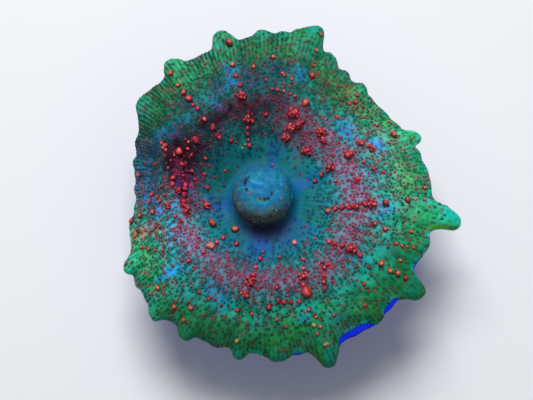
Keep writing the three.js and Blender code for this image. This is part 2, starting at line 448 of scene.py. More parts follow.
def painted_light(turn, reach):
    """Painted light and shade at a place, as a factor on the skin's colour: one ring of values for the
    hollow, one for the disc and one that the disc's values gain towards the margin, each faded in with
    reach."""
    disc = smooth(11, 16, reach)
    hollow = smooth(7, 9, reach) * (1 - disc)
    rim = round_disc(PAINTED_RIM_LIGHT, turn) * smooth(25, 33.5, reach)
    return 1 + round_disc(PAINTED_DISC_LIGHT, turn) * disc + round_disc(PAINTED_HOLLOW_LIGHT, turn) * hollow + rim


RING_MIDDLE = [19.0, 17.6, 17.2, 18.4, 18.6, 17.4, 17.0, 17.9, 18.2, 18.8, 19.8, 19.6]
RING_STRENGTH = [1.0, 0.85, 0.85, 0.45, 0.2, 0.35, 0.6, 0.8, 0.85, 0.9, 0.65, 0.8]


def ring_zone(turn, reach):
    """Share of the mauve ring round the hollow: a band whose reach and strength vary with turn."""
    off_middle = reach - round_disc(RING_MIDDLE, turn)
    return round_disc(RING_STRENGTH, turn) * bell(off_middle, 3.2, 2.5)


reaches, heights = section(np.maximum(spans, 0))
lengths = np.interp(spans, knot_table, table_length)
top_side, on_dome = spans > MARGIN - 0.6, smooth(14, 15, spans)
blushes = [[at, far, 0.75 * wide, 0.8] for at, far, wide in CLUSTERS]
patches = {"sky": SKY, "wine": WINE_AND_SHADE, "haze": HAZE, "violet": VIOLET, "moss": MOSS, "straw": STRAW}
patches.update({"amber": AMBER, "shade": SHADE, "tip": LIME, "blush": blushes, "mauve": ROSE})
fields = {name: soft_spots(turns, reaches, spots) * top_side for name, spots in patches.items()}
fields["mauve"] = np.maximum(fields["mauve"], ring_zone(turns, reaches) * top_side)
rays = sum(share * bell(apart(turns, at), np.radians(half)) for at, half, share in RAYS)
slit_along, slit_across = at_slit(turns, reaches)
slit_depth = bell(slit_across, 0.5) - 0.9 * bell(np.abs(slit_across) - 0.95, 0.35)
shadow = np.maximum(0, facing(turns, 273)) ** 3
south = np.maximum(0, -np.sin(turns)) ** 1.3
fields.update(
    {
        "reach": reaches,
        "lip": past_green(turns, spans),
        "height": heights,
        "ridge": np.cos(furrows(turns)) * smooth(27, 32, reaches) * round_disc(GILLED, turns),
        "lobe": np.minimum(1, lobe_bumps(turns)[0] / 1.6) * smooth(29.5, 33.5, reaches),
        "leaf": smooth(27.5, 31, reaches) * np.maximum(0, facing(turns, 288)),
        "slit": slit_depth * bell(slit_along, 2.0, 4) * on_dome,
        "ray": rays * band(5.5, 7.5, 10, 16.5, reaches),
        "flank": band(4.9, 6.0, 6.5, 6.9, reaches) * (0.5 + 0.5 * facing(turns, 165)),
        "shadow": shadow * band(5.8, 6.6, 7, 11, reaches),
        "south": south * band(3.0, 6.0, 7, 10.5, reaches),
        "painted_light": 1 + (painted_light(turns, reaches) - 1) * (1 - 0.6 * fields["sky"]),
        "mouth": smooth(1.05, 0.6, at_oval(turns, reaches)) * on_dome,
    }
)


def furrow_turn(row):
    """The bearing in radians of the furrow with that number, at the ridges' lowest line."""
    target = (row + 0.5) * 2 * np.pi
    turn = target / RIDGES
    for _ in range(4):
        turn = turn - (furrows(turn) - target) / RIDGES
    return turn


draw = np.random.default_rng(7)
DOT_ROWS = [  # [rows round the disc, outermost reach, where each of four rows in turn ends, step]
    [RIDGES, 34.3, (29.6, 29.6, 29.6, 29.6), 0.64],
    [340, 29.4, (9, 24.5, 13.2, 20), 0.74],
]
dot_turn, dot_reach = [], []
for count, outermost, ends, step in DOT_ROWS:
    for row in range(count):
        end = ends[row % 4] + draw.uniform(-0.8, 0.8) * (outermost < 30)
        places = np.arange(outermost - draw.uniform(0, step), end, -step)
        sway = draw.normal(0, 0.15, len(places)) / np.maximum(places, 8)
        bearings = furrow_turn(np.full(len(places), (row + 0.5) * RIDGES / count - 0.5))
        dot_turn.append(bearings + sway)
        dot_reach.append(places + draw.normal(0, 0.13, len(places)))
dot_turn, dot_reach = np.concatenate(dot_turn), np.minimum(np.concatenate(dot_reach), 33.75)
in_ring, in_wine = ring_zone(dot_turn, dot_reach), soft_spots(dot_turn, dot_reach, WINE_AND_SHADE)
low_side = smooth(0.2, 0.7, facing(dot_turn, 290)) * smooth(23, 27, dot_reach)
skipped = np.where(dot_reach < 12.5, 0.5, np.where(dot_reach < 30, 0.12, 0.05))
skipped += 0.25 * (dot_reach < 10.5) + 0.7 * soft_spots(dot_turn, dot_reach, SKY)
skipped += 0.5 * soft_spots(dot_turn, dot_reach, AMBER)
skipped += 0.6 * smooth(0.5, 1.5, lobe_bumps(dot_turn)[0]) * smooth(32, 33.2, dot_reach)
skipped += 0.42 * low_side
skipped += past_green(dot_turn, span_at(dot_reach)) < 0.35


def pick(where, *arrays):
    """The same members of several arrays."""
    return [array[where] for array in arrays]


kept = draw.random(len(dot_turn)) > skipped
dot_turn, dot_reach, in_ring, in_wine, low_side = pick(
    kept, dot_turn, dot_reach, in_ring, in_wine, low_side
)
size = draw.uniform(0.17, 0.3, len(dot_turn)) * np.where(dot_reach < 13, 0.8, 1)
size *= 1 + 0.4 * low_side
left_side = smooth(0.5, 0.9, -np.cos(dot_turn - 0.3)) * smooth(22, 25, dot_reach)
low_left = smooth(0.6, 0.9, facing(dot_turn, 208)) * smooth(20, 22, dot_reach)
right_side = smooth(0.5, 0.9, np.cos(dot_turn - 0.35)) * smooth(21, 24, dot_reach)
red_share = 0.8 * in_ring + 0.12 * in_wine + np.where(dot_reach > 23, 0.11 - 0.05 * low_side, 0.03)
red_share += 0.1 * right_side + 0.08 * low_left - 0.11 * left_side * (1 - low_left)
is_bubble = draw.random(len(dot_turn)) < np.clip(red_share, 0, 0.75)


def speeds(turn, span):
    """How many mm of skin go by for each radian of turn, and for each knot of span."""
    nudge = 1e-3
    per_turn = flesh(turn + nudge, span) - flesh(turn - nudge, span)
    per_span = flesh(turn, span + nudge) - flesh(turn, span - nudge)
    return [np.linalg.norm(step, axis=-1) / (2 * nudge) for step in (per_turn, per_span)]


NEAR = range(-4, 5)  # the rows and columns about a dot that its halo reaches


def halo(which, width):
    """The nearness of the skin's vertices to some dots, as a sum of bells of that width in mm."""
    turn, span = dot_turn[which], span_at(dot_reach[which])
    total = np.zeros(len(turns))
    per_turn, per_span = speeds(turn, span)
    knots, columns = np.array(rows).T
    nearest = np.searchsorted(knots, span)
    for row_step in NEAR:
        row = np.clip(nearest + row_step, 0, len(rows) - 1)
        around = columns[row].astype(int)
        column = np.round(turn / (2 * np.pi) * around).astype(int)
        for side_step in NEAR:
            aside = (column + side_step) * 2 * np.pi / around - turn
            gap = (aside * per_turn) ** 2 + ((knots[row] - span) * per_span) ** 2
            share = np.exp(-gap / width**2) * (row == nearest + row_step)
            np.add.at(total, starts[row] + (column + side_step) % around, share)
    return total


fields["dim"] = halo(~is_bubble, 0.34)
fields["flush"] = halo(is_bubble, 0.42)
keep_numbers(body.data, fields)

# the unrolled skin: one round map of the top about the dome, and one of the underside
TOP_MAP = (0.375, 0.625, 0.36)  # (middle across, middle up, radius)
UNDER_MAP = (0.795, 0.205, 0.195)
corners = corners_of(body.data)
margin_row = int(np.argmin([abs(knot - BANDS[2][0]) for knot, _ in rows]))
is_top = np.repeat(np.array(face_row) >= margin_row, [len(face) for face in faces])
seam = np.interp(BANDS[2][0], knot_table, table_length)
cut_reach = SECTION[0, 0]
from_cut = np.where(spans < 0, cut_reach * (1 + spans), cut_reach + lengths)
top_share = (table_length[-1] - lengths) / (table_length[-1] - seam)
maps = []
for (across, up, radius), share in ((TOP_MAP, top_share), (UNDER_MAP, from_cut / (cut_reach + seam))):
    spot = [across + radius * share * np.cos(turns), up + radius * share * np.sin(turns)]
    maps.append(np.stack(spot, 1)[corners])
lay_flat(body.data, np.where(is_top[:, None], *maps))


def tint(colour):
    """The linear colour of red, green and blue given from 0 to 255 as the eye reads them."""
    share = np.array(colour, float) / 255
    linear = np.where(share <= 0.04045, share / 12.92, ((share + 0.055) / 1.055) ** 2.4)
    return (*[float(part) for part in linear], 1.0)


class Number:
    """A socket that carries a number. Arithmetic on it adds Math nodes to its material."""

    def __init__(self, shader, socket):
        self.shader, self.socket = shader, socket

    def _math(self, operation, *others):
        return self.shader.number("Math", {"operation": operation}, dict(enumerate(others)))

    def __add__(self, other):
        return self._math("ADD", self, other)

    def __sub__(self, other):
        return self._math("SUBTRACT", self, other)

    def __rsub__(self, other):
        return self._math("SUBTRACT", other, self)

    def __mul__(self, other):
        return self._math("MULTIPLY", self, other)

    def __truediv__(self, other):
        return self._math("DIVIDE", self, other)

    __radd__, __rmul__ = __add__, __mul__

    def step(self, start, end):
        """0 up to start, 1 from end on, and an S-shaped rise between them."""
        ends = (start, end, 0.0, 1.0) if start < end else (end, start, 1.0, 0.0)
        settings = {"interpolation_type": "SMOOTHSTEP"}
        return self.shader.number("MapRange", settings, dict(enumerate((self, *ends))))

    def kept(self):
        """The number held between 0 and 1."""
        return self.shader.number("Clamp", {}, {0: self})


class Shader:
    """A material, its nodes and the colour made so far. Colours are sockets, or (red, green, blue)
    from 0 to 255 as the eye reads them."""

    def __init__(self, name, gloss):
        self.material = bpy.data.materials.new(name)
        self.material.use_nodes = True
        self.nodes = self.material.node_tree.nodes
        self.nodes.clear()
        self.surface = self.add("BsdfPrincipled", {}, {"Specular IOR Level": gloss})
        output = self.add("OutputMaterial", {}, {"Surface": self.surface.outputs[0]})
        output.is_active_output = True
        self.colour = None

    def feed(self, node, values):
        """Gives sockets of a node their values or their links."""
        for name, value in values.items():
            value = value.socket if isinstance(value, Number) else value
            if isinstance(value, bpy.types.NodeSocket):
                self.material.node_tree.links.new(value, node.inputs[name])
            else:
                node.inputs[name].default_value = value

    def add(self, kind, settings, values):
        """One node, with its settings made first and then its sockets' values or links."""
        node = self.nodes.new("ShaderNode" + kind)
        for name, value in settings.items():
            setattr(node, name, value)
        self.feed(node, values)
        return node

    def number(self, kind, settings, values, output=0):
        """The number that a new node gives."""
        return Number(self, self.add(kind, settings, values).outputs[output])

    def vector(self, operation, values):
        """The vector that a new vector node gives."""
        return self.add("VectorMath", {"operation": operation}, values).outputs[0]

    def field(self, name):
        """A number that the mesh keeps at each of its vertices."""
        return self.number("Attribute", {"attribute_name": name}, {}, "Fac")

    def noise(self, size, detail=2.0, rough=0.5):
        """Cloudy noise about 0.5, with lumps of a size in mm on the piece's own coordinates."""
        place = self.add("TexCoord", {}, {}).outputs["Object"]
        values = {"Vector": place, "Scale": 0.5 / (size * MM), "Detail": detail, "Roughness": rough}
        return self.number("TexNoise", {}, values, "Fac")

    def ramp(self, number, stops):
        """A colour that follows a number through stops of (value, colour)."""
        low, high = stops[0][0], stops[-1][0]
        node = self.add("ValToRGB", {}, {0: (number - low) / (high - low)})
        elements = node.color_ramp.elements
        while len(elements) < len(stops):
            elements.new(0.5)
        for element, (value, _) in zip(elements, stops):
            element.position = (value - low) / (high - low)
        for element, (_, colour) in zip(elements, stops):
            element.color = tint(colour)
        return node.outputs[0]

    def mix(self, under, over, share):
        """Two colours, the second laid on the first by a share from 0 to 1."""
        under, over = (tint(side) if isinstance(side, tuple) else side for side in (under, over))
        return self.add("Mix", {"data_type": "RGBA"}, {0: share, 6: under, 7: over}).outputs[2]

    def lay(self, over, share, most=1.0):
        """Lays a colour on the one made so far, by a share held from 0 to 1 and then times most."""
        self.colour = self.mix(self.colour, over, share.kept() * most)

    def brighten(self, by):
        """Multiplies the colour made so far by a number."""
        self.colour = self.vector("SCALE", {0: self.colour, "Scale": by})

    def finish(self, roughness, height, depth):
        """Puts the colour on the surface, with its roughness and a bump. A bump's height of 1
        stands depth mm over the skin."""
        values = {"Height": height, "Distance": depth * MM, "Strength": 1.0}
        normal = self.add("Bump", {}, values).outputs[0]
        wear = {"Base Color": self.colour, "Roughness": roughness, "Normal": normal}
        self.feed(self.surface, wear)


tissue = Shader("living_tissue", 0.07)
field, lay = tissue.field, tissue.lay
reach = field("reach")
cloud = tissue.noise(3.2, 3.0, 0.55)
fleck = tissue.noise(0.9, 3.0, 0.6)
net = tissue.noise(0.55, 3.0, 0.65)
# radial streaks: noise read on the direction from the disc's axis, nearly the same along a ray
spot = tissue.add("TexCoord", {}, {}).outputs["Object"]
from_axis = tissue.vector("ADD", {0: spot, 1: (LEAN * MM, 0, 0)})
level = tissue.vector("MULTIPLY", {0: from_axis, 1: (1, 1, 0)})
way = tissue.vector("NORMALIZE", {0: level})
slow = tissue.vector("MULTIPLY", {0: level, 1: (2.5, 2.5, 0)})
ray_place = tissue.vector("ADD", {0: way, 1: slow})
ray_values = {"Vector": ray_place, "Scale": 16.0, "Detail": 3.0, "Roughness": 0.6}
streak = tissue.number("TexNoise", {}, ray_values, "Fac")

GROUND = [  # the skin's own colour at each reach, under every patch
    (0, (12, 120, 168)), (3.5, (14, 115, 157)), (5.2, (24, 114, 150)), (6.2, (16, 106, 140)),
    (7.4, (10, 100, 126)), (9, (4, 99, 103)), (13.5, (16, 112, 116)), (17.5, (32, 112, 120)),
    (21.5, (24, 118, 120)), (25.5, (15, 131, 114)), (29, (13, 122, 90)), (31.5, (4, 114, 80)),
    (33, (2, 112, 84)), (34, (10, 124, 114)),
]
tissue.colour = tissue.ramp(reach, GROUND)
patch = (cloud - 0.5) * 1.6 + (fleck - 0.5) * 0.9
leaf = field("leaf")
lay((14, 132, 62), leaf * (0.75 + patch * 0.5), 0.75)
lay((36, 131, 57), (field("moss") * 1.1 + patch * 0.5).kept() * (net * 2.0 - 0.2).kept())
straw = (field("straw") + patch * 0.5 - 0.1).kept()
lay((100, 140, 96), straw * (net * 1.8 - 0.25).kept(), 0.8)
hollow = reach.step(24, 14) * reach.step(5.8, 7.5)
lay((8, 84, 150), ((streak - 0.5) * 2.4 + patch * 0.9).kept() * hollow, 0.8)
lay((0, 118, 98), ((0.48 - streak) * 2.4 - patch * 1.0).kept() * hollow, 0.9)
lay((32, 140, 122), ((cloud - 0.5) * 4 - 0.1).kept() * reach.step(21, 27), 0.42)
lay((24, 76, 168), field("ray") * (0.5 + streak), 0.8)
haze = field("haze")
lay((42, 80, 122), haze * 1.1 + patch * 0.4, 0.9)
mauve = (field("mauve") * 1.15 + patch * 0.45 - 0.08).kept()
rose = tissue.mix((72, 101, 125), (116, 62, 91), ((net - 0.48) * 6).kept())
lay(rose, mauve * (0.66 + (net - 0.5) * 2.4))
lay((122, 32, 84), field("blush") * (0.25 + net))
lay((10, 62, 44), field("shade") * 1.1 + patch * 0.6 - 0.12, 0.8)
lay((140, 92, 10), field("amber") * (0.5 + net), 0.9)
# The wine patches: dark crimson flesh, and near black as painted shade on the crest's slope that turns
# from the lamp.
wine = (field("wine") * 1.3 + patch * 0.5 - 0.1).kept()
lay(tissue.mix((20, 26, 52), (30, 5, 15), (field("wine") + patch * 0.3).step(0.6, 0.95)), wine)
lay((116, 12, 44), wine * (fleck - 0.46) * 5, 0.52)
magenta = tissue.mix((42, 38, 106), (146, 22, 66), ((net + fleck - 0.96) * 7).kept())
lay(magenta, field("violet") * (0.35 + net * 1.2), 0.85)
sky = field("sky")
lay((36, 118, 200), sky + patch * 0.25 - 0.03, 0.85)
lip = field("lip")
lay((20, 176, 176), lip.step(1.3, 0.3) * (0.35 + fleck) * (1 - 0.6 * leaf))
lobe = field("lobe")
lay((6, 150, 136), lobe * 1.2 + patch * 0.4 - 0.1 - leaf * 0.5, 0.8)
lay((44, 130, 50), lobe * (0.72 - cloud - fleck * 0.2) * 4, 0.75)
under_lobe = field("tip")
lay((58, 132, 20), (under_lobe + patch * 0.3 - 0.05).kept() * under_lobe.step(0.05, 0.3))
# The fine ridges: lighter on their crests and darker in the furrows, painted light and painted shade that
# follow the real ridges of the relief.
ridge = field("ridge") * (1 - 0.7 * haze)
lay((116, 196, 128), (ridge * 0.42).kept() * (0.1 + cloud))
lay((16, 54, 44), (ridge * -0.5).kept() * (0.1 + cloud))
dome = reach.step(6.8, 6.2)
lay((16, 84, 120), dome * (0.6 - fleck) * 5, 0.6)
lay((40, 152, 150), dome * (net - 0.5) * 7, 0.5)
lay((52, 84, 176), dome * (0.47 - net) * 7, 0.45)
# The dome's south flank: olive with green specks, partly its own colour, partly painted shade on the side
# turned from the lamp.
south = (field("south") * (0.7 + 0.9 * cloud)).kept()
lay((84, 78, 50), south * dome, 0.72)
lay((44, 84, 44), south * dome * (fleck - 0.5) * 6, 0.5)
lay((32, 18, 46), field("shadow") * (0.7 + 0.9 * cloud), 0.85)
# A greyish pink mottle on the dome's foot towards the west: partly its own colour, partly painted light
# that lifts the shade of the crease there.
lay((104, 92, 96), field("flank") * (fleck + net - 0.75) * 1.6, 0.6)
lay((34, 126, 184), field("mouth"), 0.4)
slit = field("slit")
lay((20, 78, 146), slit * (0.2 + 1.3 * fleck), 0.75)
lay((60, 170, 206), slit * -1.5 * fleck, 0.6)
dim = field("dim").kept()
round_dots = tissue.mix((4, 26, 28), (24, 4, 16), wine)
lay(round_dots, dim * (0.4 + 0.4 * fleck) * (1 - 0.8 * sky))
lay((96, 28, 62), field("flush").kept() * (0.4 + 0.5 * fleck) * (1 - 0.5 * wine))
shimmer = (tissue.noise(0.45, 2.0, 0.6) - 0.5) * 1.1 + (fleck - 0.5) * 0.9
shimmer = shimmer + (streak - 0.5) * reach.step(22, 27) * 0.7
# Painted light and shade: the colour scaled up or down by bearing and reach, times a random unevenness
# past the hollow.
tissue.brighten(field("painted_light") * (1 + shimmer * reach.step(8, 20)))
# the side walls and the underside: vivid blue below the rim, dusky towards the foot
WALL = [  # the colour at each height
    (0, (104, 88, 104)), (6, (78, 82, 128)), (13, (42, 66, 164)), (18, (20, 48, 196)),
    (20.5, (14, 40, 214)), (22, (14, 44, 226)),
]
wall = tissue.ramp(field("height") + (cloud - 0.5) * 2.5, WALL)
wall = tissue.mix(wall, (20, 26, 60), ((0.55 - streak) * 3).kept() * 0.5)
tissue.colour = tissue.mix(wall, tissue.colour, (lip + (fleck - 0.5) * 0.5).step(-0.12, 0.12))
lay((0, 0, 0), (0.5 - fleck) * 1.4, 0.5)
grain = tissue.noise(0.28, 2.0, 0.6) * 0.6 + tissue.noise(0.8, 2.0, 0.5) - dim * 0.5
tissue.finish(0.42 + fleck * 0.2, grain, 0.12)
body.data.materials.append(tissue.material)
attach(body, "root")
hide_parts("polyp")


# ---- The dark dots ----
# Thousands of dark pin-head buttons stand on the skin in rows along the furrows: round in the middle of
# the disc, and drawn out into slots near the margin.
CELL_RADIUS = 0.46  # of a cap's round map, in sides of the square that it fills


def closed_caps(name, rings, tips, feet, shares, numbers):
    """A mesh of many small closed caps. Rings has each cap's rings of points from the foot up, and
    a fan closes each end. Each cap's round map fills one square of its own, foot outermost."""
    count, levels, around = rings.shape[:3]
    each, high = levels * around + 2, (levels - 1) * around
    places = np.concatenate([rings.reshape(count, -1, 3), tips[:, None], feet[:, None]], 1)
    side, after = np.arange(around), (np.arange(around) + 1) % around
    low = np.arange(0, high, around)[:, None]
    quads = np.stack([low + side, low + after, low + around + after, low + around + side], -1)
    top_fan = np.stack([high + side, high + after, np.full(around, each - 2)], 1)
    low_fan = np.stack([after, side, np.full(around, each - 1)], 1)
    shift = np.arange(count)[:, None, None] * each
    polygons = []
    for part in (quads.reshape(-1, 4), top_fan, low_fan):
        polygons += (shift + part).reshape(-1, part.shape[1]).tolist()
    piece = stand(name, places.reshape(-1, 3), polygons, np.ones(len(polygons), bool))
    share = np.concatenate([np.repeat(shares, around), [1.0, 0.0]])
    each_vertex = {key: np.repeat(value, each) for key, value in numbers.items()}
    keep_numbers(piece.data, {"tip": np.tile(share, count), **each_vertex})
    grid = int(np.ceil(np.sqrt(count)))
    cell = np.stack([np.arange(count) % grid, np.arange(count) // grid], 1) + 0.5
    spread = CELL_RADIUS * np.concatenate([1 - np.repeat(shares, around), [0, 1]])
    angle = np.concatenate([np.tile(np.arange(around) * 2 * np.pi / around, levels), [0, 0]])
    disc = np.stack([spread * np.cos(angle), spread * np.sin(angle)], 1)
    corners = corners_of(piece.data)
    flat = ((cell[:, None] + disc[None]) / grid).reshape(-1, 2)[corners]
    closing = np.nonzero(corners % each == each - 1)[0]
    flat[closing] = flat[closing - 1]
    lay_flat(piece.data, flat)
    return piece


BUTTON = [[1.0, -0.6], [0.6, 0.85]]  # [share of the width, share of the lift] of each ring
TIP_LIFT, FOOT_LIFT = 1.1, -0.7  # shares of the lift at the middle of the top and of the bottom


def draped_buttons(name, turn, span, across, along, spin, lift, numbers, around=8, profile=BUTTON):
    """Low buttons that follow the skin. A point at (angle, share) lies share times across and along
    from the middle, spun, measured on the skin, and stands over it by the lift of its ring."""
    middle, normal, _ = skin(turn, span)
    tips, feet = (middle + normal * (lift * end)[:, None] for end in (TIP_LIFT, FOOT_LIFT))
    angle = np.arange(around) * 2 * np.pi / around
    shares, lifts = np.array(profile).T
    places = (turn, span, across, along, spin, lift, *speeds(turn, span))
    turn, span, across, along, spin, lift, per_turn, per_span = (
        values[:, None, None] for values in places
    )
    width = shares[None, :, None]
    x, y = swung(across * width * np.cos(angle), along * width * np.sin(angle), spin)
    place, normal, _ = skin(turn + x / per_turn, np.minimum(span + y / per_span, TIP - 0.01))
    rings = place + normal * (lift * lifts[None, :, None])[..., None]
    return closed_caps(name, rings, tips, feet, 1 - shares, numbers)


def skin_numbers(turn, reach, ring_share, wine_share):
    """The numbers that tell the skin's colour under some dots."""
    numbers = {"reach": reach, "mauve": ring_share, "wine": wine_share}
    return {**numbers, "haze": soft_spots(turn, reach, HAZE), "painted_light": painted_light(turn, reach)}


low_share = np.maximum(low_side, 0.7 * low_left)
pore_turn, pore_reach, pore_size, ring_share, wine_share, low_share = pick(
    ~is_bubble, dot_turn, dot_reach, size, in_ring, in_wine, low_share
)
rusty = draw.random(len(pore_turn)) < np.where(pore_reach > 22, 0.26 + 0.14 * np.cos(pore_turn - 0.9), 0.2)
red = np.clip(ring_share * 1.2 - wine_share * 0.5, 0, 1)
numbers = {
    **skin_numbers(pore_turn, pore_reach, ring_share, wine_share),
    "rust": rusty * draw.uniform(0.5, 1, len(pore_turn)),
    "crimson": red * draw.uniform(0.3, 1, len(pore_turn)),
    "soft": low_share,
    "night": np.maximum(smooth(17, 12, pore_reach), 0.8 * soft_spots(pore_turn, pore_reach, HAZE)),
    "tone": draw.random(len(pore_turn)),
}


def skin_round(name, gloss):
    """A shader that starts from the colour of the skin round a dot, from the dot's own numbers, with the
    skin's painted light and the painted shade of the wine patches.
    """
    shader = Shader(name, gloss)
    shader.colour = shader.ramp(shader.field("reach"), GROUND)
    shader.lay((100, 88, 112), shader.field("mauve"), 0.8)
    shader.lay((42, 80, 122), shader.field("haze"), 0.9)
    shader.lay((40, 14, 30), shader.field("wine"))
    shader.brighten(shader.field("painted_light"))
    return shader


pore = skin_round("dark_pore", 0.15)
skin_colour, field, lay = pore.colour, pore.field, pore.lay
pore.colour = pore.mix((8, 36, 26), (34, 54, 36), field("tone"))
lay(pore.mix((14, 60, 40), (62, 62, 38), field("tone")), field("soft"), 0.8)
lay((8, 34, 66), field("night"))
# Darker in the wine patches: partly the flesh's colour, partly the painted shade laid there.
lay((12, 10, 24), field("wine"))
lay((108, 62, 46), field("rust") * (1 - field("wine")))
lay((110, 18, 44), field("crimson"))
lay(skin_colour, field("tip").step(0.45, 0.05), 0.75)
pore.finish(0.34 + pore.noise(0.3) * 0.2, pore.noise(0.12), 0.03)
PORE_LIFT = 0.07  # mm that a dot stands over the skin
slot_share = smooth(30, 33, pore_reach) * round_disc(GILLED, pore_turn)
along, across = pore_size * (1 + 1.5 * slot_share), pore_size * (1 - 0.25 * slot_share)
spin, lift = np.zeros_like(pore_turn), np.full_like(pore_turn, PORE_LIFT)
is_even = np.arange(len(pore_turn)) % 2 == 0
for label, half in (("pores_even", is_even), ("pores_odd", ~is_even)):
    piece = draped_buttons(
        label,
        *pick(half, pore_turn, span_at(pore_reach), across, along, spin, lift),
        {key: value[half] for key, value in numbers.items()},
    )
    piece.data.materials.append(pore.material)
    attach(piece, "root")


# ---- The marks round the mouth ----
# Short strokes of black and olive pigment outline the mouth's oval, and ochre and black spots lie
# on the flanks of the dome. They are thin pads of colour that cling to the skin.
STROKES = [  # [angle on the oval, half length, half width, share of olive]
    [183, 0.5, 0.24, 0.0], [196, 0.55, 0.24, 0.0], [208, 0.3, 0.16, 0.1], [236, 0.34, 0.26, 0.0],
    [246, 0.26, 0.24, 0.3], [258, 0.3, 0.24, 0.75], [294, 0.3, 0.26, 0.8], [302, 0.3, 0.22, 0.3],
    [311, 0.3, 0.26, 0.6], [327, 0.36, 0.26, 0.0], [337, 0.3, 0.24, 0.1], [346, 0.34, 0.24, 0.0],
    [13, 0.3, 0.18, 0.1], [24, 0.3, 0.18, 0.0], [44, 0.34, 0.13, 0.3], [62, 0.24, 0.12, 0.3],
    [118, 0.26, 0.12, 0.2], [160, 0.3, 0.13, 0.1],
]
SPOTS = [  # [bearing, place along the section, half width, kind: 0 black, 1 ochre, 2 rust]
    [186, 14.44, 0.36, 2], [208, 14.46, 0.5, 1], [10, 14.74, 0.36, 1], [335, 15.02, 0.34, 1],
    [306, 15.16, 0.28, 2], [304, 14.7, 0.36, 1], [74, 15.42, 0.24, 1], [44, 15.0, 0.2, 0],
    [347, 14.2, 0.26, 0], [347, 13.4, 0.24, 0], [332, 14.5, 0.24, 0], [299, 13.9, 0.26, 0],
    [298, 14.84, 0.24, 0], [287, 14.5, 0.26, 0], [287, 15.08, 0.2, 1], [316, 13.9, 0.24, 1],
    [220, 14.2, 0.22, 0], [228, 14.3, 0.24, 0], [244, 14.2, 0.2, 0], [256, 14.5, 0.2, 0],
    [270, 14.2, 0.22, 1], [201, 13.8, 0.22, 0], [195, 14.2, 0.22, 0], [356, 14.3, 0.26, 0],
    [4, 14.2, 0.24, 0], [16, 14.1, 0.22, 0], [33, 13.6, 0.22, 0], [52, 14.3, 0.2, 2],
    [96, 14.2, 0.2, 0], [130, 14.1, 0.2, 0], [150, 14.3, 0.18, 0], [170, 14.0, 0.2, 0],
    [278, 13.6, 0.22, 0], [310, 14.2, 0.2, 0],
]
SPECKS = 60
specks = [  # small ones, sprinkled over the front of the flank
    draw.normal(275, 42, SPECKS),
    draw.uniform(12.9, 14.9, SPECKS),
    draw.uniform(0.13, 0.24, SPECKS),
    draw.integers(0, 3, SPECKS),
]
angle, half_length, half_width, olive = np.transpose(STROKES)
bearing, place, spot_size, kind = np.concatenate([np.transpose(SPOTS), specks], 1)
angle = np.radians(angle)
east, north = swung(OVAL[0] * np.cos(angle), OVAL[1] * np.sin(angle), OVAL_TILT)
east, north = east + MOUTH[0], north + MOUTH[1]
at = np.arctan2(north, east)
go_on = swung(-OVAL[0] * np.sin(angle), OVAL[1] * np.cos(angle), OVAL_TILT)
outward, sideways = swung(*go_on, -at)
MARK_LIFT = 0.06  # mm that a mark stands over the skin
marks = draped_buttons(
    "mouth_marks",
    np.concatenate([at, np.radians(bearing)]),
    np.concatenate([span_at(np.hypot(east, north)), place]),
    np.concatenate([half_length * 1.5, spot_size]),
    np.concatenate([half_width * 1.7, spot_size * 1.2]),
    np.concatenate([np.arctan2(-outward, sideways), np.zeros(len(kind))]),
    np.full(len(olive) + len(kind), MARK_LIFT),
    {
        "ochre": np.concatenate([olive, (kind == 1) * 1.0]),
        "rust": np.concatenate([olive * 0, (kind == 2) * 1.0]),
    },
    around=12,
)
pigment = Shader("mouth_pigment", 0.2)
pigment.colour = pigment.mix((10, 20, 30), (128, 104, 44), pigment.field("ochre"))
pigment.lay((120, 56, 44), pigment.field("rust"))
edge = pigment.field("tip").step(0.25, 0.0) * 0.5
pigment.lay((34, 92, 120), edge + pigment.noise(0.3) * 0.2)
pigment.finish(0.45, pigment.noise(0.15), 0.03)
marks.data.materials.append(pigment.material)
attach(marks, "root")


# ---- The bubbles ----
# Crimson, water-filled bubbles bulge from the skin of the ring and the rim: over a thousand small
# ones among the dots, chains of larger ones along the rays, and clusters like raspberries.
def frames(turn, span):
    """The point of the skin at each place, and its sideways, inward and outward directions."""
    place, normal, _ = skin(turn, span)
    nudge = 1e-3
    across = unit(flesh(turn + nudge, span) - flesh(turn - nudge, span))
    return place, across, np.cross(normal, across), normal


BULB_SIDES, BULB_RINGS = 12, 6
LOWEST, HIGHEST = -0.6, 1.25  # the rise of the first and of the last ring, in radians


def bulbs(name, base, across, along, up, width, tall, dent, numbers):
    """Round-headed bubbles. A point at (angle, rise) lies width / 2 times the cosine of rise out
    from the middle and tall times its sine up, from below the skin to the tip, less a dent."""
    rise = np.linspace(LOWEST, HIGHEST, BULB_RINGS)
    angle = np.arange(BULB_SIDES) * 2 * np.pi / BULB_SIDES
    two, three = draw.uniform(0, 6.3, (2, len(width), 1, 1))
    lumpy = 1 + 0.12 * np.cos(2 * angle + two) + 0.08 * np.cos(3 * angle + three)
    out = np.cos(rise)[None, :, None] * width[:, None, None] / 2 * lumpy
    sunk = dent[:, None] * bell(np.cos(rise), 0.45)
    lift = tall[:, None] * (0.25 + 0.75 * np.sin(rise) - sunk)
    rings = base[:, None, None] + lift[..., None, None] * up[:, None, None]
    rings = rings + (out * np.cos(angle))[..., None] * across[:, None, None]
    rings = rings + (out * np.sin(angle))[..., None] * along[:, None, None]
    tips = base + up * (tall * (1 - dent))[:, None]
    feet = base - up * (0.3 * tall)[:, None]
    shares = (rise - LOWEST) / (np.pi / 2 - LOWEST)
    return closed_caps(name, rings, tips, feet, shares, numbers)


